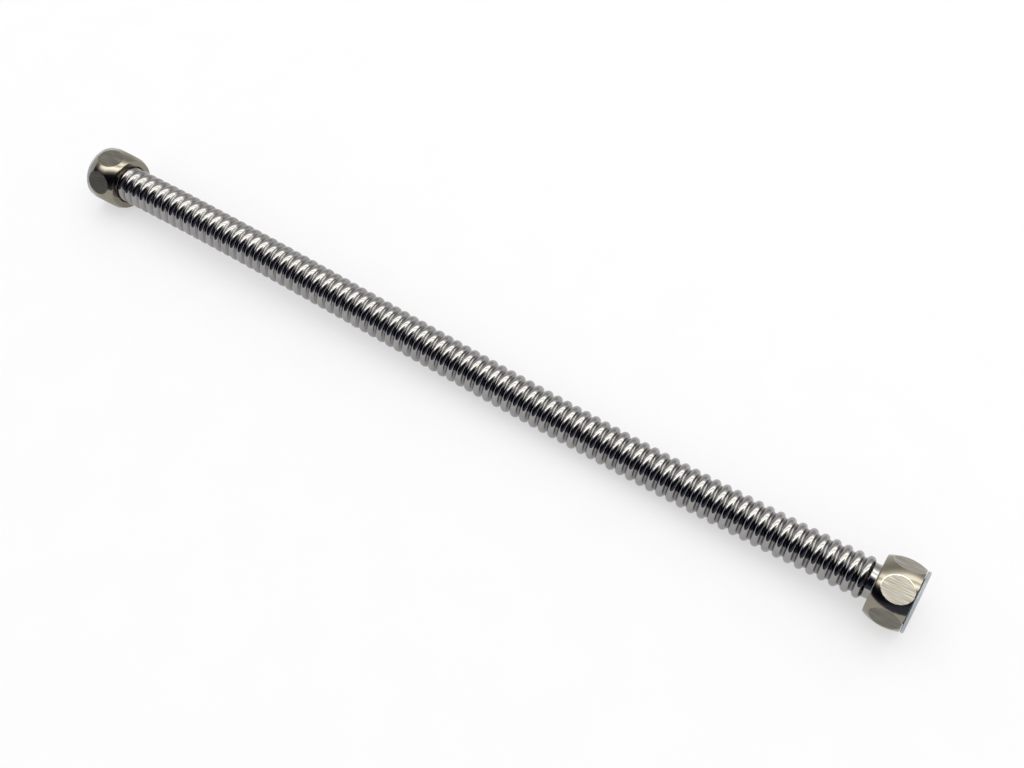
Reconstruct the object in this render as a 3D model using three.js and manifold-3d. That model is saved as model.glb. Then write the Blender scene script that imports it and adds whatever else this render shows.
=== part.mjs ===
// Corrugated stainless steel hose with a crowned union nut at each end.
// It lies on a flat surface, left to right along +X, with +Z up. All sizes are in millimetres.
import * as THREE from 'three';
import { mergeVertices } from 'three/addons/utils/BufferGeometryUtils.js';
import Module from 'manifold-3d';

const wasm = await Module();
wasm.setup();

// Corrugated tube
const RINGS = 82; // corrugations, counted from the left
const PITCH = 4.53; // from one crest to the next
const CREST_RADIUS = 8.5;
const VALLEY_RADIUS = 6.9; // also the outside of the plain neck at each end
const CREST_LAND = 1.5; // width of a crest's top, along the tube
const WALL = 0.3; // sheet thickness of the tube
const TUBE_SIDES = 12;
const FLANGE_RADIUS = 9.1; // collar rolled out at each end of the tube
const FLANGE_THICKNESS = 0.6;

// How the hose lies: it touches the surface at one ring, rises to the right nut,
// and arches over the longer left stretch before it comes down to the left nut
const LOW_RING = 58; // rings from the left crest to the ring that touches the surface
const LEFT_ARCH = 4.5; // how strongly the left stretch arches; at 2 its end would be level

// Union nuts, turned with a crowned outside, then milled to six flats
const NUT_LENGTH = 14.4;
const NUT_ACROSS_FLATS = 24.8;
const CROWN_RISE = 1.1; // how far the crowned outside stands above the flats at its widest
const CROWN_PLACE = 8.2; // from the nut's inner face to its widest place
const CROWN_ARC = 18; // radius of the crown's arc, seen from the side
const NUT_EDGE = 0.25; // bevel at the outer rim
const LIP_THICKNESS = 1.8; // the inward lip that pulls on the retaining ring
const RELIEF_RADIUS = 10.6; // groove behind the lip, where the thread tool runs out
const RELIEF_LENGTH = 1.6;
const THREAD_CORE_RADIUS = 9.5; // the G 1/2 thread is drawn as its core
const MOUTH_RADIUS = 10.5; // lead-in at the thread's mouth
const NUT_SIDES = 30;
const CROWN_STEPS = 5;
const LEFT_NUT_ROLL = 30; // degrees: the left nut lies on a flat
const RIGHT_NUT_ROLL = -180 / NUT_SIDES; // degrees: the right nut lies on its crown, beside a corner

// Small pieces inside the nuts
const RING_THICKNESS = 1.6; // open retaining ring, snapped on the neck
const RING_MOUTH = 32; // degrees left open
const GASKET_THICKNESS = 1.5;
const GASKET_BORE_RADIUS = 6.2;
const SMALL_SIDES = 24;
const RING_ARC_STEPS = 14;

// Dust caps
const CAP_RADIUS = 12.3;
const CAP_FLANGE = 1.25; // thickness of the cap's flange
const CAP_WALL = 1;
const CAP_TAPER = 0.25; // the plug is narrower at its inner end

// Clearances and travel
const GAP = 0.3; // between pieces that touch
const CREST_CLEARANCE = 0.2; // the nut's lip passes over the crests
const NUT_TRAVEL = 4.3; // how far a nut and its ring slide back from the end of the neck
const LEFT_SLID_BACK = NUT_TRAVEL; // the left nut is pushed back along the neck
const RIGHT_SLID_BACK = 0; // the right nut is drawn up against the end flange

// Stations along an end, measured outwards from the centre of the last crest
const FLANK = (PITCH - CREST_LAND) / 2;
const NECK_START = CREST_LAND / 2 + FLANK;
const RING_BORE_RADIUS = VALLEY_RADIUS + GAP;
const FLANK_AT_RING = NECK_START - (RING_BORE_RADIUS - VALLEY_RADIUS) * FLANK / (CREST_RADIUS - VALLEY_RADIUS);
const RING_START = FLANK_AT_RING + GAP + NUT_TRAVEL; // the ring against the flange
const FLANGE_START = RING_START + RING_THICKNESS + GAP;
const TUBE_END = FLANGE_START + FLANGE_THICKNESS;
const GASKET_START = TUBE_END + GAP;
const NUT_START = RING_START - GAP - LIP_THICKNESS;
const NUT_END = NUT_START + NUT_LENGTH;
// The cap's plug clears the gasket when the nut is slid back
const CAP_PLUG = NUT_END - NUT_TRAVEL - (GASKET_START + GASKET_THICKNESS) - GAP;
const LIP_RADIUS = CREST_RADIUS + CREST_CLEARANCE;
const CROWN_RADIUS = NUT_ACROSS_FLATS / 2 + CROWN_RISE;
const RING_RADIUS = THREAD_CORE_RADIUS - GAP;

// The centreline is a slow curve between the two end crests, all of it upright over the X axis
const LEFT_SPAN = LOW_RING * PITCH;
const RIGHT_SPAN = (RINGS - 1 - LOW_RING) * PITCH;

// The end crest stands this much higher than the lowest ring, so that the nut just touches the surface.
// endSlope is the curve's slope at the end crest, for a lift and a span of one.
function liftAtEnd(nutReach, contactStation, span, endSlope) {
  return (nutReach - CREST_RADIUS) / (1 + endSlope * contactStation / span);
}

// The left nut leans on the outer end of a flat, the right nut on the crown's widest place
const FLAT_END = CROWN_PLACE + Math.sqrt(2 * CROWN_ARC * CROWN_RISE);
const LEFT_CONTACT = NUT_START - LEFT_SLID_BACK + Math.min(FLAT_END, NUT_LENGTH - NUT_EDGE);
const RIGHT_CONTACT = NUT_START - RIGHT_SLID_BACK + CROWN_PLACE;
const RIGHT_REACH = CROWN_RADIUS * Math.cos(Math.PI / NUT_SIDES);
const LEFT_LIFT = liftAtEnd(NUT_ACROSS_FLATS / 2, LEFT_CONTACT, LEFT_SPAN, 2 - LEFT_ARCH);
const RIGHT_LIFT = liftAtEnd(RIGHT_REACH, RIGHT_CONTACT, RIGHT_SPAN, 2);

class Centreline extends THREE.Curve {
  getPoint(t, target = new THREE.Vector3()) {
    const x = THREE.MathUtils.lerp(-LEFT_SPAN, RIGHT_SPAN, t);
    if (x < 0) {
      const share = -x / LEFT_SPAN;
      return target.set(x, 0, CREST_RADIUS + LEFT_LIFT * share ** 2 * (1 + LEFT_ARCH * (1 - share)));
    }
    return target.set(x, 0, CREST_RADIUS + RIGHT_LIFT * (x / RIGHT_SPAN) ** 2);
  }
}

const centreline = new Centreline();
const SPAN = (RINGS - 1) * PITCH;

// A frame at a distance along the tube: +Y along the tube and +Z as upright as that allows.
// Past the end crests the tube is straight.
function frameAt(distance) {
  const share = THREE.MathUtils.clamp(distance / SPAN, 0, 1);
  const along = centreline.getTangentAt(share);
  const upright = new THREE.Vector3(0, 0, 1);
  upright.addScaledVector(along, -upright.dot(along)).normalize();
  const across = new THREE.Vector3().crossVectors(along, upright);
  const place = centreline.getPointAt(share).addScaledVector(along, distance - share * SPAN);
  return new THREE.Matrix4().makeBasis(across, along, upright).setPosition(place);
}

// Carries a piece that is modelled straight, along +Y, onto the tube's centreline
function bendOntoCentreline(geometry) {
  const points = geometry.attributes.position;
  const point = new THREE.Vector3();
  for (let i = 0; i < points.count; i += 1) {
    point.fromBufferAttribute(points, i);
    const frame = frameAt(point.y);
    point.setY(0).applyMatrix4(frame);
    points.setXYZ(i, point.x, point.y, point.z);
  }
  geometry.computeVertexNormals();
  return geometry;
}

// A turned piece, from (radius, station) pairs that run up the outside and back down the inside
function turned(profile, sides, firstCorner = 0) {
  const points = profile.map(([radius, station]) => new THREE.Vector2(radius, station));
  return new THREE.LatheGeometry(points, sides, firstCorner);
}

function toManifold(geometry) {
  const bare = geometry.clone();
  bare.deleteAttribute('normal');
  bare.deleteAttribute('uv');
  const merged = mergeVertices(bare, 1e-4);
  const vertProperties = new Float32Array(merged.attributes.position.array);
  const triVerts = new Uint32Array(merged.index.array);
  return new wasm.Manifold(new wasm.Mesh({ numProp: 3, vertProperties, triVerts }));
}

function fromManifold(solid) {
  const mesh = solid.getMesh();
  const geometry = new THREE.BufferGeometry();
  geometry.setAttribute('position', new THREE.BufferAttribute(new Float32Array(mesh.vertProperties), 3));
  geometry.setIndex(new THREE.BufferAttribute(new Uint32Array(mesh.triVerts), 1));
  geometry.computeVertexNormals();
  return geometry;
}

function tubeGeometry() {
  const land = CREST_LAND / 2;
  // The inside follows the outside at a distance of one wall, measured square to the sheet
  const slope = (CREST_RADIUS - VALLEY_RADIUS) / FLANK;
  const drop = WALL * Math.hypot(1, slope);
  const innerLand = land - (drop - WALL) / slope;
  const innerValley = VALLEY_RADIUS - drop;
  const boreRadius = VALLEY_RADIUS - WALL;
  const outside = [];
  const inside = [];
  for (let ring = 0; ring < RINGS; ring += 1) {
    const centre = ring * PITCH;
    outside.push([CREST_RADIUS, centre - land], [CREST_RADIUS, centre + land]);
    inside.push([CREST_RADIUS - WALL, centre - innerLand], [CREST_RADIUS - WALL, centre + innerLand]);
    if (ring < RINGS - 1) {
      outside.push([VALLEY_RADIUS, centre + PITCH / 2]);
      inside.push([innerValley, centre + PITCH / 2]);
    }
  }
  const innerNeckStart = innerLand + (CREST_RADIUS - WALL - boreRadius) / slope;
  const profile = [
    [FLANGE_RADIUS, -TUBE_END],
    [FLANGE_RADIUS, -FLANGE_START],
    [VALLEY_RADIUS, -FLANGE_START],
    [VALLEY_RADIUS, -NECK_START],
    ...outside,
    [VALLEY_RADIUS, SPAN + NECK_START],
    [VALLEY_RADIUS, SPAN + FLANGE_START],
    [FLANGE_RADIUS, SPAN + FLANGE_START],
    [FLANGE_RADIUS, SPAN + TUBE_END],
    [boreRadius, SPAN + TUBE_END],
    [boreRadius, SPAN + innerNeckStart],
    ...inside.reverse(),
    [boreRadius, -innerNeckStart],
    [boreRadius, -TUBE_END],
    [FLANGE_RADIUS, -TUBE_END],
  ];
  // A side, and not a corner, faces the surface below
  return bendOntoCentreline(turned(profile, TUBE_SIDES, Math.PI / TUBE_SIDES));
}

// The nut's own stations start at its inner face
function nutGeometry() {
  const crown = [];
  const lastStation = NUT_LENGTH - NUT_EDGE;
  for (let i = 0; i <= CROWN_STEPS; i += 1) {
    const station = lastStation * i / CROWN_STEPS;
    const offCentre = station - CROWN_PLACE;
    crown.push([CROWN_RADIUS - CROWN_ARC + Math.sqrt(CROWN_ARC ** 2 - offCentre ** 2), station]);
  }
  const reliefEnd = LIP_THICKNESS + RELIEF_LENGTH;
  const rimRadius = crown[crown.length - 1][0] - NUT_EDGE;
  const blank = turned([
    [LIP_RADIUS, 0],
    ...crown,
    [rimRadius, NUT_LENGTH],
    [MOUTH_RADIUS, NUT_LENGTH],
    [THREAD_CORE_RADIUS, NUT_LENGTH - (MOUTH_RADIUS - THREAD_CORE_RADIUS)],
    [THREAD_CORE_RADIUS, reliefEnd + (RELIEF_RADIUS - THREAD_CORE_RADIUS)],
    [RELIEF_RADIUS, reliefEnd],
    [RELIEF_RADIUS, LIP_THICKNESS],
    [LIP_RADIUS, LIP_THICKNESS],
    [LIP_RADIUS, 0],
  ], NUT_SIDES);
  const overCorners = NUT_ACROSS_FLATS / 2 / Math.cos(Math.PI / 6);
  const flats = new THREE.CylinderGeometry(overCorners, overCorners, 3 * NUT_LENGTH, 6);
  return fromManifold(toManifold(blank).intersect(toManifold(flats)));
}

// An open ring, drawn flat and raised along +Y
function retainingRingGeometry() {
  const from = THREE.MathUtils.degToRad(RING_MOUTH / 2);
  const to = 2 * Math.PI - from;
  const outline = new THREE.Shape();
  outline.absarc(0, 0, RING_RADIUS, from, to, false);
  outline.absarc(0, 0, RING_BORE_RADIUS, to, from, true);
  const ring = new THREE.ExtrudeGeometry(outline, {
    depth: RING_THICKNESS,
    bevelEnabled: false,
    curveSegments: RING_ARC_STEPS,
  });
  return ring.rotateX(-Math.PI / 2);
}

function gasketGeometry() {
  return turned([
    [FLANGE_RADIUS, 0],
    [FLANGE_RADIUS, GASKET_THICKNESS],
    [GASKET_BORE_RADIUS, GASKET_THICKNESS],
    [GASKET_BORE_RADIUS, 0],
    [FLANGE_RADIUS, 0],
  ], SMALL_SIDES);
}

// The cap's stations start at the nut's outer face; its cup is open on the outside
function capGeometry() {
  const plugRadius = THREAD_CORE_RADIUS - GAP;
  const tipRadius = plugRadius - CAP_TAPER;
  const flangeEnd = GAP + CAP_FLANGE;
  return turned([
    [0, -CAP_PLUG],
    [tipRadius, -CAP_PLUG],
    [plugRadius, GAP],
    [CAP_RADIUS, GAP],
    [CAP_RADIUS, flangeEnd],
    [plugRadius - CAP_WALL, flangeEnd],
    [tipRadius - CAP_WALL, CAP_WALL - CAP_PLUG],
    [0, CAP_WALL - CAP_PLUG],
  ], SMALL_SIDES);
}

const steel = { color: 0xb9bcbf, roughness: 0.22, metalness: 1 };
const nickel = { color: 0xa39c8c, roughness: 0.3, metalness: 1 };
const springSteel = { color: 0x8f9296, roughness: 0.35, metalness: 1 };
const rubber = { color: 0x23262a, roughness: 0.8, metalness: 0 };
const plastic = { color: 0xb4c0cb, roughness: 0.45, metalness: 0 };

function piece(name, geometry, finish) {
  const mesh = new THREE.Mesh(geometry, new THREE.MeshStandardMaterial(finish));
  mesh.name = name;
  return mesh;
}

// One end of the hose: a group whose +Y points outwards, with 0 at the end crest
function endFitting(side, frame, slidBack, roll) {
  const end = new THREE.Group();
  end.applyMatrix4(frame);

  const ring = piece(`${side}_retaining_ring`, retainingRingGeometry(), springSteel);
  ring.position.y = RING_START - slidBack;
  const gasket = piece(`${side}_gasket`, gasketGeometry(), rubber);
  gasket.position.y = GASKET_START;
  const nut = piece(`${side}_union_nut`, nutGeometry(), nickel);
  nut.position.y = NUT_START - slidBack;
  nut.rotation.y = THREE.MathUtils.degToRad(roll);
  const cap = piece(`${side}_dust_cap`, capGeometry(), plastic);
  cap.position.y = NUT_END - slidBack;

  end.add(ring, gasket, nut, cap);
  return end;
}

const rightFrame = frameAt(SPAN);
// At the left end outwards is the other way along the tube, so the frame is turned half round +Z
const leftFrame = frameAt(0).multiply(new THREE.Matrix4().makeRotationZ(Math.PI));

const hose = new THREE.Group();
hose.add(piece('corrugated_tube', tubeGeometry(), steel));
hose.add(endFitting('left', leftFrame, LEFT_SLID_BACK, LEFT_NUT_ROLL));
hose.add(endFitting('right', rightFrame, RIGHT_SLID_BACK, RIGHT_NUT_ROLL));

// The origin is under the middle of the whole hose, on the surface that it lies on
hose.updateMatrixWorld(true);
const box = new THREE.Box3().setFromObject(hose, true);
const middle = box.getCenter(new THREE.Vector3());
hose.position.set(-middle.x, -middle.y, -box.min.z);
hose.updateMatrixWorld(true);

export default hose;
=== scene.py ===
"""Corrugated stainless steel hose with a crowned union nut and a dust cap at each end."""
import math
import random

import bmesh
import bpy
import numpy as np
from mathutils import Matrix, Vector


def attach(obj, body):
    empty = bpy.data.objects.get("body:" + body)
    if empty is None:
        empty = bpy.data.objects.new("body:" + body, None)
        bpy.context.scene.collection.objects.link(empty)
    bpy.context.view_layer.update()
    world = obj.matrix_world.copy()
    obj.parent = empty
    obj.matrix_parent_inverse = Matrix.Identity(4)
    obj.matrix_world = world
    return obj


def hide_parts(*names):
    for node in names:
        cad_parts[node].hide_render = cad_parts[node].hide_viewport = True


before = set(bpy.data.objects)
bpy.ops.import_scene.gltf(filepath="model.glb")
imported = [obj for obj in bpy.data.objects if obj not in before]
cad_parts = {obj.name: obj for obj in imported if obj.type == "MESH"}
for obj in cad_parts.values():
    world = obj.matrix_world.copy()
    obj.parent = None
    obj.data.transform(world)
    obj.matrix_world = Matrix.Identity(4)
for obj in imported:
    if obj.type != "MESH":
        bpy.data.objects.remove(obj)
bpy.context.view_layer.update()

MM = 0.001  # the pieces are shaped in millimetres and brought to metres at the end
FULL_TURN = 2 * math.pi
MERGE_DISTANCE = 1e-4
CUT_DISTANCE = 1e-5

# Corrugated tube, in the sizes of the CAD solids
RINGS = 82
PITCH = 4.53
SPAN = (RINGS - 1) * PITCH
CREST_RADIUS = 8.5
VALLEY_RADIUS = 6.9
CREST_ROUND = 1.7
VALLEY_ROUND = 0.7
WALL = 0.3
NECK_START = 2.265
FLANGE_START = 8.480938
TUBE_END = 9.080938
FLANGE_RADIUS = 9.1
TUBE_SIDES = 60
CREST_SEGMENTS = 9
VALLEY_SEGMENTS = 5
END_VALLEY_SEGMENTS = 6
INSIDE_CREST = 0.7
INSIDE_VALLEY = 0.35

# How far the rings stand out of true: along the hose, at a lean and out of round
RING_SHIFT = 0.05
RING_LEAN = 0.045
RING_OVAL = 0.05
RING_SEED = 17

# How far past the end crests the rings' unevenness and the valleys' painted shade still go
UNEVEN_REACH = 1.9
VALLEY_SHADE_REACH = 1.5

# How the hose lies: on its lowest ring, lifting from there to both ends
LOW_RING = 58
LEFT_SPAN = LOW_RING * PITCH
RIGHT_SPAN = SPAN - LEFT_SPAN
LEFT_ARCH = 4.5
LEFT_LIFT = 4.515633
RIGHT_LIFT = 3.961577
SHIFT = (76.944601, -0.011411)
LINE_SAMPLES = 6001

# Stations at each end, outwards from the end crest, with the nut, its ring and its cap
STATIONS = {
    "left": {"ring": 2.280938, "gasket": 9.380938, "nut": 0.180938, "cap": 14.580938},
    "right": {"ring": 6.580938, "gasket": 9.380938, "nut": 4.480938, "cap": 18.880938},
}
NUT_ROLL = {"left": 30, "right": -6}

# Union nut
NUT_LENGTH = 14.4
FLAT_HEIGHT = 12.4
CROWN_RADIUS = 13.5
CROWN_PLACE = 8.2
CROWN_ARC = 18.0
CROWN_POINTS = 30
NUT_EDGE = 0.25
LIP_EDGE = 0.15
LIP_THICKNESS = 1.8
LIP_RADIUS = 8.7
RELIEF_RADIUS = 10.6
RELIEF_END = 3.4
MOUTH_RADIUS = 10.5
NUT_SIDES = 144
SHARP_EDGE = math.radians(28)

# The flats: their rims, their faces' places among the nut's materials, and the painted light on each, a
# factor that paints a flat's colour lighter or darker as the lamps fall on it
FLATS = 6
RIM_WIDTH = 0.22
RIM_DEPTH = 0.04
FLAT_FACE, RIM_FACE = 1, 2
FLAT_PAINTED_LIGHT = {
    "left": (0.9, 1.0, 0.85, 0.95, 0.32, 0.36),
    "right": (1.5, 0.57, 0.9, 1.0, 0.85, 0.85),
}

# Pipe thread
THREAD_PITCH = 1.814
THREAD_ROOT = 10.4
THREAD_CORE = 9.5
THREAD_SUNK = 0.04
THREAD_FOOT = THREAD_PITCH * 0.47
THREAD_TIP = THREAD_PITCH * 0.1
THREAD_START = RELIEF_END + 0.15
THREAD_STOP = NUT_LENGTH - 0.75
THREAD_TURNS = 7
THREAD_STEPS = 48

# Retaining ring: half the wire's section and the radius of its middle; where the open ring starts
# and how far it goes round, in degrees
WIRE_HALF_WIDTH = 0.8
WIRE_HALF_HEIGHT = 0.99
WIRE_MIDDLE = 8.2
WIRE_START = 106
WIRE_ARC = 328
WIRE_SIDES = 20

# Flat gasket
GASKET_THICKNESS = 1.5
GASKET_RADIUS = 9.1
GASKET_BORE = 6.2
GASKET_ROUND = 0.2

# Dust cap: stations of the plug, the well inside it and the thin disc over the nut, from the nut's end
PLUG_BOTTOM = -3.4
WELL_BOTTOM = -2.4
CAP_BACK = 0.3
CAP_FRONT = 1.55
CAP_RADIUS = 12.3
PLUG_ROOT_RADIUS = 9.2
PLUG_TIP_RADIUS = 8.95
WELL_MOUTH_RADIUS = 8.2
WELL_FLOOR_RADIUS = 7.95

ROUND_SIDES = 72
CAP_SIDES = 96

# How the pieces' own maps are laid out
MAP_RADIUS = 9.0
FLAT_MAP_STEP = 30

# The studio, in metres
FLOOR_HALF = 6
FLOOR_LEVEL = -1e-4
ARCH_HALF = 4.0
ARCH_RADIUS = 1.5
ARCH_SIDES = 48
SOFTBOX_PLACE = (0.0, 0.25, 1.1)
SOFTBOX_SIZE = (1.8, 1.2)
SOFTBOX_WATTS = 4.5
WHITE = (1, 1, 1)
BLACK = (0, 0, 0)


# ---- camera and view ----

scene = bpy.context.scene
scene.view_settings.view_transform = "Standard"
camera = bpy.data.objects.new("camera", bpy.data.cameras.new("camera"))
camera.location = (0.16749, -0.21799, 0.39449)
camera.rotation_euler = (math.radians(90 - 55.564), 0, math.radians(32.892))
camera.data.lens = 39.473
camera.data.sensor_width = 36
camera.data.clip_start = 0.01
scene.collection.objects.link(camera)
scene.camera = camera


# ---- parts of a material ----

def new_material(name):
    material = bpy.data.materials.new(name)
    material.use_nodes = True
    nodes = material.node_tree.nodes
    return material, nodes, material.node_tree.links, nodes["Principled BSDF"]


def new_metal(name):
    material, nodes, links, shader = new_material(name)
    shader.inputs["Metallic"].default_value = 1.0
    return material, nodes, links, shader


def streaks_group():
    """Fine lines that run along u and vary along v, in metres on the piece's own map."""
    group = bpy.data.node_groups.new("tool streaks", "ShaderNodeTree")
    sockets = group.interface
    sockets.new_socket("Vector", in_out="INPUT", socket_type="NodeSocketVector")
    for name, value in (("Along", 60.0), ("Across", 2500.0)):
        socket = sockets.new_socket(name, in_out="INPUT", socket_type="NodeSocketFloat")
        socket.default_value = value
    sockets.new_socket("Lines", in_out="OUTPUT", socket_type="NodeSocketFloat")
    sockets.new_socket("Broad", in_out="OUTPUT", socket_type="NodeSocketFloat")
    nodes, links = group.nodes, group.links
    inside, outside = nodes.new("NodeGroupInput"), nodes.new("NodeGroupOutput")
    scale = nodes.new("ShaderNodeCombineXYZ")
    links.new(inside.outputs["Along"], scale.inputs["X"])
    links.new(inside.outputs["Across"], scale.inputs["Y"])
    stretched = nodes.new("ShaderNodeVectorMath")
    stretched.operation = "MULTIPLY"
    links.new(inside.outputs["Vector"], stretched.inputs[0])
    links.new(scale.outputs[0], stretched.inputs[1])
    for output, size, detail in (("Lines", 1.0, 4.0), ("Broad", 0.22, 2.0)):
        noise = nodes.new("ShaderNodeTexNoise")
        noise.noise_dimensions = "2D"
        noise.inputs["Scale"].default_value = size
        noise.inputs["Detail"].default_value = detail
        links.new(stretched.outputs[0], noise.inputs["Vector"])
        links.new(noise.outputs["Fac"], outside.inputs[output])
    return group


streaks = streaks_group()


def streak_node(nodes, links, along, across):
    """The streaks on the piece's own map, with how many go to a metre along and across."""
    place = nodes.new("ShaderNodeUVMap")
    place.uv_map = "turned"
    node = nodes.new("ShaderNodeGroup")
    node.node_tree = streaks
    node.inputs["Along"].default_value = along
    node.inputs["Across"].default_value = across
    links.new(place.outputs["UV"], node.inputs["Vector"])
    return node


def object_noise(nodes, links, scale, detail=3.0):
    place = nodes.new("ShaderNodeTexCoord")
    noise = nodes.new("ShaderNodeTexNoise")
    noise.inputs["Scale"].default_value = scale
    noise.inputs["Detail"].default_value = detail
    links.new(place.outputs["Object"], noise.inputs["Vector"])
    return noise.outputs["Fac"]


def ramp(nodes, links, value, stops):
    """A colour for each value, by (value, colour) stops."""
    node = nodes.new("ShaderNodeValToRGB")
    elements = node.color_ramp.elements
    while len(elements) < len(stops):
        elements.new(0.5)
    for element, (place, colour) in zip(elements, stops):
        element.position = place
        element.color = (*colour, 1)
    links.new(value, node.inputs["Fac"])
    return node.outputs["Color"]


def spread(nodes, links, value, low, high, start=0.3, end=0.7):
    """Values from start to end become low to high."""
    node = nodes.new("ShaderNodeMapRange")
    for socket, number in (("From Min", start), ("From Max", end), ("To Min", low), ("To Max", high)):
        node.inputs[socket].default_value = number
    links.new(value, node.inputs["Value"])
    return node.outputs["Result"]


def blend(nodes, links, share, low, high):
    """Two colours, each a plain one or a socket, mixed by the share of the second."""
    node = nodes.new("ShaderNodeMix")
    node.data_type = "RGBA"
    factor, first, second, result = node.inputs[0], node.inputs[6], node.inputs[7], node.outputs[2]
    links.new(share, factor)
    for socket, colour in ((first, low), (second, high)):
        if isinstance(colour, tuple):
            socket.default_value = (*colour, 1)
        else:
            links.new(colour, socket)
    return result


def combine(nodes, links, operation, first, second):
    node = nodes.new("ShaderNodeMath")
    node.operation = operation
    links.new(first, node.inputs[0])
    links.new(second, node.inputs[1])
    return node.outputs[0]


def bump(nodes, links, height, distance, strength):
    node = nodes.new("ShaderNodeBump")
    node.inputs["Strength"].default_value = strength
    node.inputs["Distance"].default_value = distance
    links.new(height, node.inputs["Height"])
    return node.outputs["Normal"]


def attribute(nodes, name):
    node = nodes.new("ShaderNodeAttribute")
    node.attribute_name = name
    return node.outputs["Fac"]


def by_painted_light(nodes, links, colour):
    """The colour, painted darker or lighter on each flat, as painted light for how the lamps fall on it.
    """
    toned = nodes.new("ShaderNodeVectorMath")
    toned.operation = "SCALE"
    links.new(colour, toned.inputs[0])
    links.new(attribute(nodes, "painted_light"), toned.inputs["Scale"])
    return toned.outputs[0]


# ---- finishes of the hose ----

def steel_tube_material():
    """Bright formed sheet: nearly a mirror on the crests, with painted shade darkening its colour down
    in the valleys.
    """
    material, nodes, links, shader = new_metal("bright formed steel")
    lines = streak_node(nodes, links, along=2600.0, across=90.0).outputs["Lines"]
    cloud = object_noise(nodes, links, scale=160.0)
    bright = ramp(nodes, links, cloud, [(0.3, (0.29, 0.284, 0.279)), (0.7, (0.335, 0.328, 0.322))])
    # painted shade: the colour darkens towards the valleys' bottoms, in place of the shade that falls
    # between the rings
    valley_shade = spread(nodes, links, attribute(nodes, "valley"), 0.0, 1.0, 0.35, 1.0)
    links.new(blend(nodes, links, valley_shade, bright, (0.2, 0.194, 0.198)), shader.inputs["Base Color"])
    links.new(spread(nodes, links, lines, 0.045, 0.1), shader.inputs["Roughness"])
    links.new(bump(nodes, links, lines, distance=0.00001, strength=0.12), shader.inputs["Normal"])
    return material


def nickel_crown_material():
    """Satin nickel plating over the turned crown."""
    material, nodes, links, shader = new_metal("turned nickel crown")
    lines = streak_node(nodes, links, along=5200.0, across=60.0).outputs["Lines"]
    cloud = object_noise(nodes, links, scale=220.0)
    plating = ramp(nodes, links, cloud, [(0.3, (0.235, 0.215, 0.172)), (0.7, (0.275, 0.253, 0.204))])
    links.new(plating, shader.inputs["Base Color"])
    links.new(spread(nodes, links, lines, 0.1, 0.16), shader.inputs["Roughness"])
    links.new(bump(nodes, links, lines, distance=0.00001, strength=0.35), shader.inputs["Normal"])
    return material


def nickel_flat_material():
    """The milled flats, brushed along the nut with cream and grey lines, each painted brighter or darker
    as painted light for how the lamps fall on it.
    """
    material, nodes, links, shader = new_metal("brushed nickel flat")
    brushing = streak_node(nodes, links, along=120.0, across=7500.0)
    lines = brushing.outputs["Lines"]
    brushed = ramp(nodes, links, lines, [
        (0.4, (0.23, 0.212, 0.18)), (0.5, (0.35, 0.327, 0.28)), (0.6, (0.52, 0.495, 0.44))])
    along = nodes.new("ShaderNodeTangent")
    along.direction_type = "UV_MAP"
    along.uv_map = "turned"
    shader.inputs["Anisotropic"].default_value = 0.75
    shader.inputs["Anisotropic Rotation"].default_value = 0.25
    links.new(along.outputs["Tangent"], shader.inputs["Tangent"])
    # painted light: each flat's colour is scaled lighter or darker for how the lamps fall on it
    links.new(by_painted_light(nodes, links, brushed), shader.inputs["Base Color"])
    links.new(spread(nodes, links, brushing.outputs["Broad"], 0.34, 0.46), shader.inputs["Roughness"])
    links.new(bump(nodes, links, lines, distance=0.00002, strength=0.6), shader.inputs["Normal"])
    return material


def flat_rim_material():
    """The thin rim round each flat, burnished smoother by the cutter, with a lighter colour painted on
    as a highlight.
    """
    material, nodes, links, shader = new_metal("burnished flat rim, painted highlight")
    brushing = streak_node(nodes, links, along=900.0, across=900.0)
    # painted highlight: the rim's colour is lighter than the flat's, so that it shows as a bright rim
    burnished_highlight = ramp(nodes, links, brushing.outputs["Lines"], [
        (0.35, (0.38, 0.355, 0.305)), (0.65, (0.52, 0.495, 0.435))])
    links.new(by_painted_light(nodes, links, burnished_highlight), shader.inputs["Base Color"])
    links.new(spread(nodes, links, brushing.outputs["Broad"], 0.2, 0.34), shader.inputs["Roughness"])
    return material


def spring_steel_material():
    """Plain drawn wire, dull."""
    material, nodes, links, shader = new_metal("dull spring steel")
    cloud = object_noise(nodes, links, scale=900.0)
    drawn = ramp(nodes, links, cloud, [(0.35, (0.36, 0.37, 0.38)), (0.65, (0.5, 0.51, 0.52))])
    links.new(drawn, shader.inputs["Base Color"])
    links.new(spread(nodes, links, cloud, 0.28, 0.42), shader.inputs["Roughness"])
    return material


def rubber_material():
    """Matte black rubber with a fine grain."""
    material, nodes, links, shader = new_material("matte gasket rubber")
    grain = object_noise(nodes, links, scale=2600.0, detail=5.0)
    black = ramp(nodes, links, grain, [(0.3, (0.012, 0.012, 0.013)), (0.7, (0.03, 0.03, 0.032))])
    links.new(black, shader.inputs["Base Color"])
    links.new(spread(nodes, links, grain, 0.62, 0.82), shader.inputs["Roughness"])
    links.new(bump(nodes, links, grain, distance=0.00004, strength=0.6), shader.inputs["Normal"])
    return material


def cap_material():
    """Thin translucent polyethylene, grey-blue."""
    material, nodes, links, shader = new_material("translucent blue plastic")
    cloud = object_noise(nodes, links, scale=380.0)
    milky = ramp(nodes, links, cloud, [(0.3, (0.5, 0.54, 0.565)), (0.7, (0.58, 0.62, 0.645))])
    links.new(milky, shader.inputs["Base Color"])
    links.new(spread(nodes, links, cloud, 0.3, 0.42), shader.inputs["Roughness"])
    shader.inputs["Transmission Weight"].default_value = 0.35
    shader.inputs["IOR"].default_value = 1.5
    return material


# ---- mesh helpers ----

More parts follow.
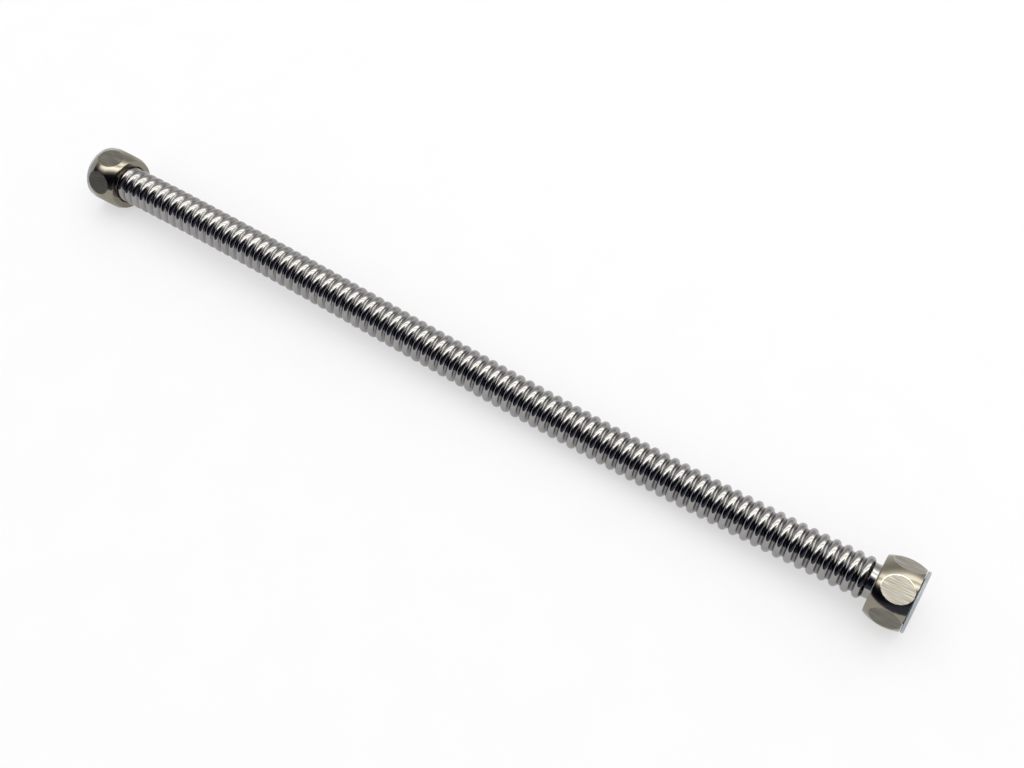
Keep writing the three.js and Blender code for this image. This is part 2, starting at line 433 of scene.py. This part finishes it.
def outline(bm, points, closed=True):
    """Edges through (station, radius) points, in the half-plane above the piece's axis."""
    verts = [bm.verts.new((0, station, radius)) for station, radius in points]
    pairs = list(zip(verts, verts[1:]))
    if closed:
        pairs.append((verts[-1], verts[0]))
    return verts + [bm.edges.new(pair) for pair in pairs]


def turn(bm, geometry, steps, angle=FULL_TURN, advance=0.0):
    """Turns an outline about the piece's axis, +Y."""
    full = angle == FULL_TURN and advance == 0
    bmesh.ops.spin(bm, geom=geometry, cent=(0, 0, 0), axis=(0, 1, 0), dvec=(0, advance, 0),
                   angle=angle, steps=steps, use_merge=full, use_duplicate=False)
    bmesh.ops.remove_doubles(bm, verts=bm.verts, dist=MERGE_DISTANCE)
    bmesh.ops.recalc_face_normals(bm, faces=bm.faces)


def cut_off(bm, place, normal):
    """Cuts away what lies beyond a plane, and gives what the cut touched."""
    return bmesh.ops.bisect_plane(bm, geom=bm.verts[:] + bm.edges[:] + bm.faces[:],
                                  dist=CUT_DISTANCE, plane_co=place, plane_no=normal,
                                  clear_outer=True)["geom_cut"]


def move(bm, verts, station, height=0.0):
    bmesh.ops.translate(bm, verts=verts, vec=(0, station, height))


def roll(bm, verts, degrees):
    """Turns vertices about the piece's axis."""
    bmesh.ops.rotate(bm, verts=verts, cent=(0, 0, 0),
                     matrix=Matrix.Rotation(math.radians(degrees), 3, "Y"))


def rounded(corners, segments=3):
    """An outline of (station, radius, rounding) corners, each rounded by its last number."""
    points = [Vector(corner[:2]) for corner in corners]
    made = []
    for i, (corner, (_, _, r)) in enumerate(zip(points, corners)):
        if r == 0:
            made.append(tuple(corner))
            continue
        before = (points[i - 1] - corner).normalized()
        after = (points[(i + 1) % len(points)] - corner).normalized()
        half = before.angle(after) / 2
        centre = corner + (before + after).normalized() * (r / math.sin(half))
        first = corner + before * (r / math.tan(half)) - centre
        last = corner + after * (r / math.tan(half)) - centre
        for k in range(segments + 1):
            made.append(tuple(centre + first.slerp(last, k / segments).normalized() * r))
    return made


def write_map(mesh, straight):
    """The map 'turned', in metres: u runs along the piece and v round it."""
    loops = np.empty(len(mesh.loops), np.int32)
    mesh.loops.foreach_get("vertex_index", loops)
    starts = np.empty(len(mesh.polygons), np.int32)
    totals = np.empty(len(mesh.polygons), np.int32)
    mesh.polygons.foreach_get("loop_start", starts)
    mesh.polygons.foreach_get("loop_total", totals)
    angle = np.arctan2(straight[:, 0], straight[:, 2])[loops]
    reference = np.repeat(angle[starts], totals)
    angle += 2 * np.pi * np.round((reference - angle) / (2 * np.pi))
    layer = mesh.uv_layers.new(name="turned")
    across = angle * MAP_RADIUS
    layer.uv.foreach_set("vector", np.stack([straight[loops, 1], across], 1).ravel() * MM)


def write_valleys(mesh, straight):
    """How deep each point of the tube lies between the rings, 0 on a crest and 1 in a valley; the
    valleys' painted shade follows it.
    """
    depth = (CREST_RADIUS - np.hypot(straight[:, 0], straight[:, 2])) / (CREST_RADIUS - VALLEY_RADIUS)
    depth *= (straight[:, 1] > -VALLEY_SHADE_REACH) & (straight[:, 1] < SPAN + VALLEY_SHADE_REACH)
    layer = mesh.attributes.new("valley", "FLOAT", "POINT")
    layer.data.foreach_set("value", np.clip(depth, 0, 1))


def finish_piece(name, bm, place, materials, body, slot, *nodes):
    """Brings a piece to its place in the row frame, in metres, and lets it ride on its body."""
    for face in bm.faces:
        face.smooth = True
    mesh = bpy.data.meshes.new(name)
    bm.to_mesh(mesh)
    bm.free()
    straight = np.empty(len(mesh.vertices) * 3)
    mesh.vertices.foreach_get("co", straight)
    straight = straight.reshape(-1, 3)
    if "turned" not in mesh.uv_layers:
        write_map(mesh, straight)
    if name == "tube":
        write_valleys(mesh, straight)
    mesh.vertices.foreach_set("co", (place(straight) * MM).ravel())
    mesh.update()
    for material in materials:
        mesh.materials.append(material)
    piece = bpy.data.objects.new(name, mesh)
    scene.collection.objects.link(piece)
    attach(piece, body)
    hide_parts(*nodes)
    return piece


# ---- how the hose lies ----

line_x = np.linspace(-LEFT_SPAN, RIGHT_SPAN, LINE_SAMPLES)
left_share = np.clip(-line_x / LEFT_SPAN, 0, None)
right_share = np.clip(line_x / RIGHT_SPAN, 0, None)
line_z = (CREST_RADIUS + LEFT_LIFT * left_share ** 2 * (1 + LEFT_ARCH * (1 - left_share))
          + RIGHT_LIFT * right_share ** 2)
line_steps = np.hypot(np.diff(line_x), np.diff(line_z))
line_station = np.concatenate([[0], np.cumsum(line_steps)])
line_station *= SPAN / line_station[-1]
line_slope = np.gradient(line_z, line_x)


def frame_at(stations):
    """Places on the centreline, and the directions along and upright there."""
    inside = np.clip(stations, 0, SPAN)
    x = np.interp(inside, line_station, line_x)
    z = np.interp(inside, line_station, line_z)
    slope = np.interp(inside, line_station, line_slope)
    length = np.hypot(1, slope)
    cos, sin = 1 / length, slope / length
    beyond = stations - inside
    zero = np.zeros_like(x)
    point = np.stack([x + SHIFT[0] + beyond * cos, zero, z + SHIFT[1] + beyond * sin], -1)
    return point, np.stack([cos, zero, sin], -1), np.stack([-sin, zero, cos], -1)


def along_hose(points):
    """Bends points of the straight tube onto the centreline."""
    place, _, upright = frame_at(points[:, 1])
    return place + upright * points[:, 2:] + np.array([0, -1, 0]) * points[:, :1]


def at_end(side):
    """Carries an end piece from its own frame to its end of the hose."""
    end = SPAN if side == "right" else 0.0
    place, along, upright = (v[0] for v in frame_at(np.array([end])))
    outward = along if side == "right" else -along
    across = np.cross(outward, upright)
    return lambda points: place + points @ np.stack([across, outward, upright])


# ---- corrugated tube ----

def arc(centre, radius, middle, reach, segments):
    """Points on an arc, as far as reach to both sides; middle is 90 for a crest, -90 for a valley."""
    way = -1 if middle > 0 else 1
    angles = [math.radians(middle + way * reach * (2 * k / segments - 1)) for k in range(segments + 1)]
    return [(centre[0] + radius * math.cos(a), centre[1] + radius * math.sin(a)) for a in angles]


def tube_outline():
    """Outside from the left collar to the right one, and back through the bore."""
    rise = CREST_RADIUS - CREST_ROUND - VALLEY_RADIUS - VALLEY_ROUND
    reach = 180 - math.degrees(math.atan2(PITCH / 2, rise))
    outer = []
    for ring in range(RINGS):
        outer += arc((ring * PITCH, CREST_RADIUS - CREST_ROUND), CREST_ROUND, 90, reach, CREST_SEGMENTS)
        if ring < RINGS - 1:
            valley = ((ring + 0.5) * PITCH, VALLEY_RADIUS + VALLEY_ROUND)
            outer += arc(valley, VALLEY_ROUND, -90, reach, VALLEY_SEGMENTS)[1:-1]
    bore = VALLEY_RADIUS - WALL
    inner = []
    for ring in range(RINGS):
        inner += [(ring * PITCH + d, CREST_RADIUS - WALL) for d in (-INSIDE_CREST, INSIDE_CREST)]
        if ring < RINGS - 1:
            inner += [((ring + 0.5) * PITCH + d, bore) for d in (-INSIDE_VALLEY, INSIDE_VALLEY)]
    valley = (NECK_START, VALLEY_RADIUS + VALLEY_ROUND)
    half_valley = arc(valley, VALLEY_ROUND, -90, reach, END_VALLEY_SEGMENTS)[1:4]
    neck = [(5.4, VALLEY_RADIUS), (7.85, VALLEY_RADIUS), (8.2, VALLEY_RADIUS + 0.1),
            (8.4, VALLEY_RADIUS + 0.32)]
    flange = [(FLANGE_START, VALLEY_RADIUS + 0.7), (FLANGE_START, FLANGE_RADIUS - 0.2),
              (FLANGE_START + 0.1, FLANGE_RADIUS - 0.04), (FLANGE_START + 0.3, FLANGE_RADIUS),
              (FLANGE_START + 0.5, FLANGE_RADIUS - 0.04), (TUBE_END, FLANGE_RADIUS - 0.2)]
    mouth = [(TUBE_END, bore + 0.7), (TUBE_END - 0.15, bore + 0.25), (TUBE_END - 0.6, bore), (2.0, bore)]
    end = half_valley + neck + flange + mouth
    right = [(SPAN + s, r) for s, r in end]
    left = [(-s, r) for s, r in end]
    return left[::-1] + outer + right + inner[::-1]


def uneven_rings(points):
    """Rings stand a few hundredths of a millimetre out of true, as formed sheet does."""
    dice = random.Random(RING_SEED)
    ring = np.clip(np.round(points[:, 1] / PITCH).astype(int), 0, RINGS - 1)
    amounts = np.array([[dice.uniform(-1, 1) for _ in range(4)] for _ in range(RINGS)])[ring]
    radius = np.hypot(points[:, 0], points[:, 2])
    share = np.clip((radius - VALLEY_RADIUS) / (CREST_RADIUS - VALLEY_RADIUS), 0, 1)
    share[(points[:, 1] < -UNEVEN_REACH) | (points[:, 1] > SPAN + UNEVEN_REACH)] = 0
    angle = np.arctan2(points[:, 0], points[:, 2])
    lean = amounts[:, 1] * np.sin(angle) + amounts[:, 2] * np.cos(angle)
    out_of_round = 0.5 + 0.5 * np.sin(2 * angle + 6 * amounts[:, 3])
    narrower = 1 - share * out_of_round * RING_OVAL / radius
    moved = points.copy()
    moved[:, 1] += share * (RING_SHIFT * amounts[:, 0] + RING_LEAN * lean)
    moved[:, 0] *= narrower
    moved[:, 2] *= narrower
    return moved


steel = steel_tube_material()
bm = bmesh.new()
turn(bm, outline(bm, tube_outline()), TUBE_SIDES)
tube = finish_piece("tube", bm, lambda points: along_hose(uneven_rings(points)), [steel],
                    "hose", "stainless_steel", "corrugated_tube")


# ---- union nuts ----

def crown_radius(station):
    return CROWN_RADIUS - CROWN_ARC + math.sqrt(CROWN_ARC ** 2 - (station - CROWN_PLACE) ** 2)


def nut_outline():
    """Crown outside; inside, from the mouth: the thread's wall, the relief for the ring, and the lip."""
    crown = [(s, crown_radius(s)) for s in np.linspace(LIP_EDGE, NUT_LENGTH - NUT_EDGE, CROWN_POINTS)]
    rim = crown[-1][1]
    return [
        (0.0, LIP_RADIUS + 0.3), (0.0, crown_radius(LIP_EDGE) - LIP_EDGE), *crown,
        (NUT_LENGTH - 0.07, rim - 0.07), (NUT_LENGTH, rim - NUT_EDGE),
        (NUT_LENGTH, MOUTH_RADIUS + 0.25), (NUT_LENGTH - 0.35, THREAD_ROOT),
        (RELIEF_END + 0.2, THREAD_ROOT), (RELIEF_END, RELIEF_RADIUS), (LIP_THICKNESS, RELIEF_RADIUS),
        (LIP_THICKNESS, LIP_RADIUS + 0.1), (LIP_THICKNESS - 0.1, LIP_RADIUS), (0.3, LIP_RADIUS)]


def mill_flats(bm, painted_light):
    """The flats, each with a thin rim where the cutter left the crown, painted bright as a highlight;
    each flat and its rim carry the flat's painted light, lighter or darker.
    """
    layer = bm.faces.layers.float.new("painted_light")
    for k in range(FLATS):
        angle = math.radians(360 / FLATS * (k + 0.5))
        normal = Vector((math.sin(angle), 0, math.cos(angle)))
        cut = cut_off(bm, normal * FLAT_HEIGHT, normal)
        border = [e for e in cut if isinstance(e, bmesh.types.BMEdge)]
        made = bmesh.ops.edgeloop_fill(bm, edges=border, mat_nr=FLAT_FACE)["faces"]
        for face in made:
            if face.normal.dot(normal) < 0:
                face.normal_flip()
        rim = bmesh.ops.inset_individual(bm, faces=made, thickness=RIM_WIDTH, depth=RIM_DEPTH,
                                         use_even_offset=True)
        # each flat and its rim get the flat's painted light, which scales their colour lighter or darker
        for face in rim["faces"]:
            face.material_index = RIM_FACE
            face[layer] = painted_light[k]
        for face in made:
            face[layer] = painted_light[k]
            for edge in face.edges:
                edge.smooth = False
        for edge in border:
            if edge.is_valid:
                edge.smooth = False


def cut_thread(bm):
    """The pipe thread: one helical ridge on the bore's wall, cut off square at both ends."""
    ridge = bmesh.new()
    root = THREAD_ROOT + THREAD_SUNK
    section = outline(ridge, [(-THREAD_FOOT, root), (-THREAD_TIP, THREAD_CORE),
                              (THREAD_TIP, THREAD_CORE), (THREAD_FOOT, root)])
    move(ridge, ridge.verts, RELIEF_END - THREAD_PITCH)
    turn(ridge, section, THREAD_STEPS * THREAD_TURNS, FULL_TURN * THREAD_TURNS,
         THREAD_PITCH / THREAD_STEPS)
    cut_off(ridge, (0, THREAD_START, 0), (0, -1, 0))
    cut_off(ridge, (0, THREAD_STOP, 0), (0, 1, 0))
    bmesh.ops.holes_fill(ridge, edges=[e for e in ridge.edges if e.is_boundary])
    bmesh.ops.recalc_face_normals(ridge, faces=ridge.faces)
    spare = bpy.data.meshes.new("thread")
    ridge.to_mesh(spare)
    ridge.free()
    bm.from_mesh(spare)
    bpy.data.meshes.remove(spare)


def write_nut_map(bm):
    """u runs along the nut; v runs round the crown, and straight across each flat."""
    layer = bm.loops.layers.uv.new("turned")
    for face in bm.faces:
        middle = face.calc_center_median()
        middle_angle = math.atan2(middle.x, middle.z)
        for loop in face.loops:
            x, y, z = loop.vert.co
            if face.material_index == FLAT_FACE:
                across = (x * math.cos(middle_angle) - z * math.sin(middle_angle)
                          + FLAT_MAP_STEP * middle_angle)
            else:
                turned = math.atan2(x, z) - middle_angle
                turned -= FULL_TURN * round(turned / FULL_TURN)
                across = (middle_angle + turned) * CROWN_RADIUS
            loop[layer].uv = (y * MM, across * MM)


def union_nut(side):
    bm = bmesh.new()
    turn(bm, outline(bm, nut_outline()), NUT_SIDES)
    for edge in bm.edges:
        if edge.calc_face_angle(0) > SHARP_EDGE:
            edge.smooth = False
    mill_flats(bm, FLAT_PAINTED_LIGHT[side])
    cut_thread(bm)
    write_nut_map(bm)
    roll(bm, bm.verts, NUT_ROLL[side])
    move(bm, bm.verts, STATIONS[side]["nut"])
    return finish_piece(f"{side}_nut", bm, at_end(side), nickel_finishes,
                        f"{side}_nut", "nickel_plated_brass", f"{side}_union_nut")


nickel_finishes = [nickel_crown_material(), nickel_flat_material(), flat_rim_material()]
nuts = [union_nut(side) for side in STATIONS]


# ---- retaining rings, gaskets and dust caps ----

def retaining_ring(side):
    """Open wire ring with a rounded section, snapped on the neck."""
    bm = bmesh.new()
    section = bmesh.ops.create_circle(bm, cap_ends=True, segments=WIRE_SIDES, radius=1.0)["verts"]
    roll(bm, section, 90)
    bmesh.ops.scale(bm, verts=section, vec=(1, WIRE_HALF_WIDTH, WIRE_HALF_HEIGHT))
    move(bm, section, WIRE_HALF_WIDTH, WIRE_MIDDLE)
    roll(bm, section, WIRE_START)
    turn(bm, bm.verts[:] + bm.edges[:] + bm.faces[:], ROUND_SIDES, math.radians(WIRE_ARC))
    move(bm, bm.verts, STATIONS[side]["ring"])
    return finish_piece(f"{side}_ring", bm, at_end(side), [spring_steel],
                        f"{side}_ring", "spring_steel", f"{side}_retaining_ring")


def gasket(side):
    """Flat ring with rounded edges."""
    bm = bmesh.new()
    corners = [(0, GASKET_RADIUS), (GASKET_THICKNESS, GASKET_RADIUS),
               (GASKET_THICKNESS, GASKET_BORE), (0, GASKET_BORE)]
    turn(bm, outline(bm, rounded([(*corner, GASKET_ROUND) for corner in corners])), ROUND_SIDES)
    move(bm, bm.verts, STATIONS[side]["gasket"])
    return finish_piece(f"{side}_flat_gasket", bm, at_end(side), [rubber],
                        "hose", "gasket_rubber", f"{side}_gasket")


def dust_cap(side):
    """A shallow cup that plugs the thread, with a thin flange over the nut's end."""
    bm = bmesh.new()
    profile = rounded([
        (PLUG_BOTTOM, 0.0, 0), (PLUG_BOTTOM, PLUG_TIP_RADIUS, 0.4), (CAP_BACK, PLUG_ROOT_RADIUS, 0),
        (CAP_BACK, CAP_RADIUS, 0.3), (CAP_FRONT, CAP_RADIUS, 0.35), (CAP_FRONT, WELL_MOUTH_RADIUS, 0.3),
        (WELL_BOTTOM, WELL_FLOOR_RADIUS, 0.4), (WELL_BOTTOM, 0.0, 0)])
    turn(bm, outline(bm, profile, closed=False), CAP_SIDES)
    move(bm, bm.verts, STATIONS[side]["cap"])
    return finish_piece(f"{side}_cap", bm, at_end(side), [plastic],
                        f"{side}_cap", "clear_blue_plastic", f"{side}_dust_cap")


spring_steel, rubber, plastic = spring_steel_material(), rubber_material(), cap_material()
fittings = nuts + [make(side) for side in STATIONS for make in (retaining_ring, gasket, dust_cap)]


# ---- floor, reflection arch, lamp and world ----

def stage_object(name, bm, material):
    mesh = bpy.data.meshes.new(name)
    bm.to_mesh(mesh)
    bm.free()
    mesh.materials.append(material)
    made = bpy.data.objects.new(name, mesh)
    scene.collection.objects.link(made)
    return made


def seen_rays(nodes, links):
    """1 where the camera looks, straight or by way of metal and clear plastic."""
    rays = nodes.new("ShaderNodeLightPath").outputs
    seen = combine(nodes, links, "MAXIMUM", rays["Is Camera Ray"], rays["Is Glossy Ray"])
    return combine(nodes, links, "MAXIMUM", seen, rays["Is Transmission Ray"])


def floor_material():
    """Half painted and half glowing white, so that the shadow stays light; all white far away."""
    material, nodes, links, shader = new_material("white floor")
    grain = object_noise(nodes, links, scale=40.0)
    paint = ramp(nodes, links, grain, [(0.3, (0.94, 0.94, 0.94)), (0.7, (0.96, 0.96, 0.96))])
    links.new(paint, shader.inputs["Base Color"])
    shader.inputs["Roughness"].default_value = 0.9
    shader.inputs["Specular IOR Level"].default_value = 0.1
    place = nodes.new("ShaderNodeTexCoord")
    away = nodes.new("ShaderNodeVectorMath")
    away.operation = "LENGTH"
    links.new(place.outputs["Object"], away.inputs[0])
    whiter = spread(nodes, links, away.outputs["Value"], 0.5, 1.0, 0.6, 2.5)
    glow = nodes.new("ShaderNodeEmission")
    mixed = nodes.new("ShaderNodeMixShader")
    links.new(combine(nodes, links, "MULTIPLY", seen_rays(nodes, links), whiter), mixed.inputs[0])
    links.new(shader.outputs[0], mixed.inputs[1])
    links.new(glow.outputs[0], mixed.inputs[2])
    links.new(mixed.outputs[0], nodes["Material Output"].inputs["Surface"])
    return material


def floor():
    bm = bmesh.new()
    corners = [(-FLOOR_HALF, -FLOOR_HALF), (FLOOR_HALF, -FLOOR_HALF),
               (FLOOR_HALF, FLOOR_HALF), (-FLOOR_HALF, FLOOR_HALF)]
    bm.faces.new([bm.verts.new((*corner, FLOOR_LEVEL)) for corner in corners])
    plane = stage_object("floor", bm, floor_material())


def glow_stop(degrees, level, warmth=0.0):
    """A stop of the arch's glow, by how far it leans back from upright; warmth may be below zero."""
    colour = (level * (1 + warmth), level * (1 + 0.8 * warmth), level * (1 - 1.4 * warmth))
    return 0.5 + degrees / 180, colour


def arch_material():
    """Bright overhead and a little behind, with a slanted edge, and dark at the front.

    It is dimmer past the hose's left end, and a warm strip glows past its right end."""
    material, nodes, links, shader = new_material("reflection arch")
    nodes.remove(shader)
    place = nodes.new("ShaderNodeTexCoord")
    parts = nodes.new("ShaderNodeSeparateXYZ")
    links.new(place.outputs["Object"], parts.inputs[0])
    x, y, z = (parts.outputs[axis] for axis in "XYZ")
    slant = spread(nodes, links, x, 0.2, -0.72, -1.0, 1.5)
    slanted = combine(nodes, links, "ADD", combine(nodes, links, "ARCTAN2", y, z), slant)
    lean = spread(nodes, links, slanted, 0.0, 1.0, -math.pi / 2, math.pi / 2)
    bright = ramp(nodes, links, lean, [
        glow_stop(-90, 0.12, -0.2), glow_stop(-76, 0.02, -0.35), glow_stop(-52, 0.008, -0.4),
        glow_stop(-35, 0.03, -0.3), glow_stop(-24, 0.55), glow_stop(-17, 2.4, 0.02),
        glow_stop(-9, 4.2, 0.02), glow_stop(-2, 3.4, 0.02), glow_stop(3, 1.5, 0.02),
        glow_stop(7, 1.5, 0.02), glow_stop(11, 3.2, 0.02), glow_stop(20, 3.5, 0.02),
        glow_stop(32, 1.4, 0.01), glow_stop(48, 0.66), glow_stop(70, 0.66), glow_stop(90, 0.95)])
    dim = ramp(nodes, links, lean, [
        glow_stop(-90, 0.12, -0.2), glow_stop(-60, 0.01, -0.4), glow_stop(-30, 0.04, -0.2),
        glow_stop(0, 0.45), glow_stop(30, 0.8), glow_stop(60, 0.5), glow_stop(90, 0.75)])
    overhead = blend(nodes, links, spread(nodes, links, x, 0.0, 1.0, -2.3, -1.5), dim, bright)
    strip = ramp(nodes, links, spread(nodes, links, x, 0.0, 1.0, 0.0, 3.5), [
        (0.46, BLACK), (0.52, WHITE), (0.6, WHITE), (0.66, BLACK)])
    warm = ramp(nodes, links, lean, [(0.2, (0.1, 0.1, 0.1)), (0.36, (3.2, 2.95, 2.5))])
    emission = nodes.new("ShaderNodeEmission")
    links.new(blend(nodes, links, strip, overhead, warm), emission.inputs["Color"])
    links.new(emission.outputs[0], nodes["Material Output"].inputs["Surface"])
    return material


def reflection_arch():
    """Half a tunnel over the hose. Only the polish of the metal sees it."""
    bm = bmesh.new()
    foot = [bm.verts.new((x, -ARCH_RADIUS, 0.0)) for x in (-ARCH_HALF, ARCH_HALF)]
    edge = bm.edges.new(foot)
    bmesh.ops.spin(bm, geom=foot + [edge], cent=(0, 0, 0), axis=(1, 0, 0), dvec=(0, 0, 0),
                   angle=-math.pi, steps=ARCH_SIDES, use_merge=False, use_duplicate=False)
    arch = stage_object("reflection arch", bm, arch_material())
    arch.visible_camera = False
    arch.visible_diffuse = False
    arch.visible_shadow = False
    arch.visible_transmission = False


def overhead_softbox():
    """The one lamp, overhead and a little behind the hose. The polish of the metal doesn't see it."""
    light = bpy.data.lights.new("overhead softbox", "AREA")
    light.shape = "RECTANGLE"
    light.size, light.size_y = SOFTBOX_SIZE
    light.energy = SOFTBOX_WATTS
    light.color = (1, 0.99, 0.97)
    softbox = bpy.data.objects.new("overhead softbox", light)
    softbox.location = SOFTBOX_PLACE
    aim = Vector((0, 0, 0)) - softbox.location
    softbox.rotation_euler = aim.to_track_quat("-Z", "Y").to_euler()
    softbox.visible_camera = False
    softbox.visible_glossy = False
    scene.collection.objects.link(softbox)


floor()
reflection_arch()
overhead_softbox()

# The world lights the hose a little below white, and is white where it is seen.
world = bpy.data.worlds.new("studio")
scene.world = world
world.use_nodes = True
nodes, links = world.node_tree.nodes, world.node_tree.links
tone = blend(nodes, links, seen_rays(nodes, links), (0.82, 0.82, 0.83), WHITE)
links.new(tone, nodes["Background"].inputs["Color"])
